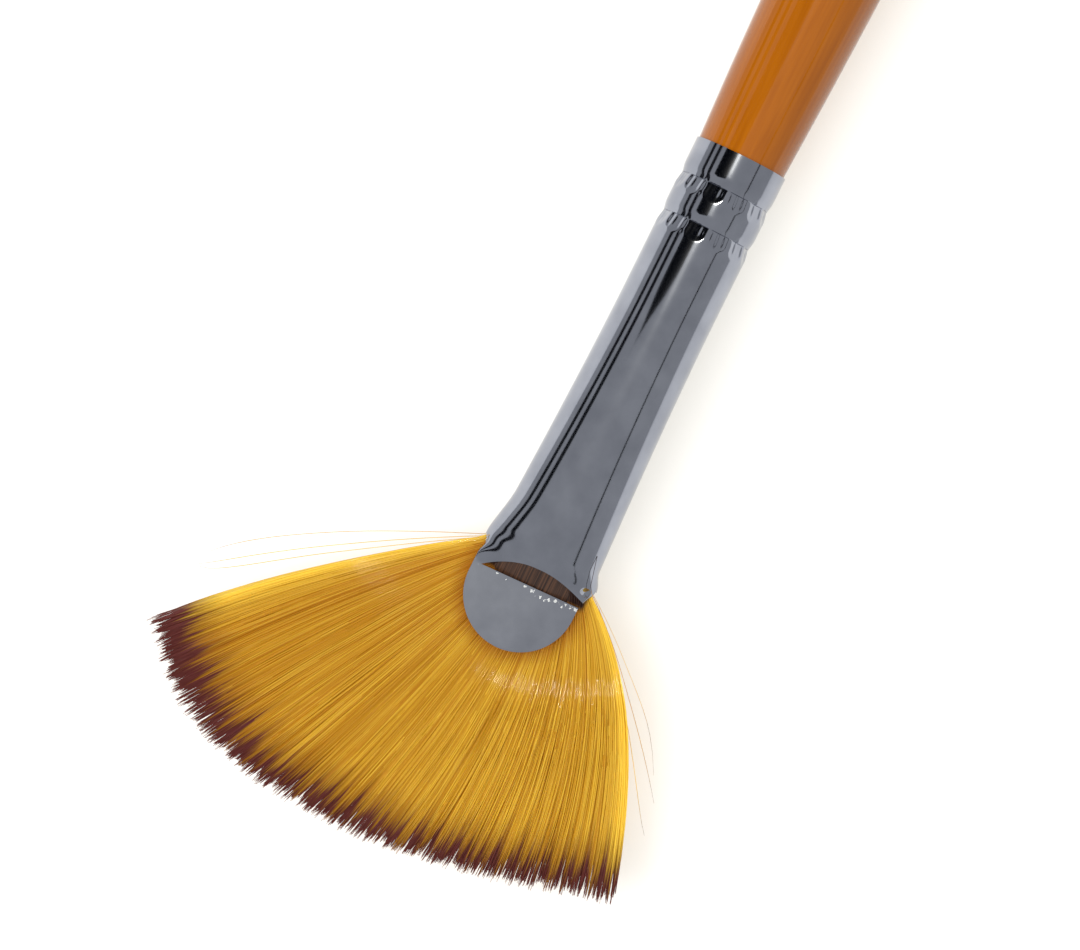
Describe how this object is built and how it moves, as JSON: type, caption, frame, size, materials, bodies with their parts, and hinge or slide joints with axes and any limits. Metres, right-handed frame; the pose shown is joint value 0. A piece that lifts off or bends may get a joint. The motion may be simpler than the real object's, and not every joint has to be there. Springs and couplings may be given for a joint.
{
  "type": "fan brush",
  "caption": "Long-handled artist's fan brush: a flat fan of soft synthetic hair held by the tongues of a crimped metal ferrule on a round, tapered, lacquered wooden handle.",
  "frame": {"origin": "on the brush's axis, in the middle of the ferrule's plain round barrel", "axes": "+X along the brush towards the hair, +Y across the fan, +Z out of the fan's face"},
  "size_m": [0.3004, 0.0383, 0.0086],
  "materials": {
    "handle_wood": "turned birch, bare where it is glued",
    "orange_lacquer": "high-gloss dipped lacquer",
    "wood_glue": "dried glue",
    "black_nickel": "polished black-nickel plate on drawn brass",
    "root_epoxy": "cured dark epoxy",
    "thread": "waxed thread",
    "nylon_hair": "gold nylon filament with dark dyed tips, satin"
  },
  "bodies": {
    "brush": {"handle_core": "handle_wood", "lacquer_coat": "orange_lacquer", "handle_glue": "wood_glue", "ferrule": "black_nickel", "root_resin": "root_epoxy", "binding_thread": "thread", "bristle_roots": "nylon_hair", "fan_base": "nylon_hair"},
    "bristles": {"bristle_fan": "nylon_hair"}
  },
  "joints": [
    {"name": "bristle_flex", "type": "hinge", "parent": "brush", "child": "bristles", "pos_m": [0.031, 0, 0], "axis": [0, 1, 0], "range_deg": [-40, 40], "stiffness_Nm_per_rad": 0.0046}
  ]
}
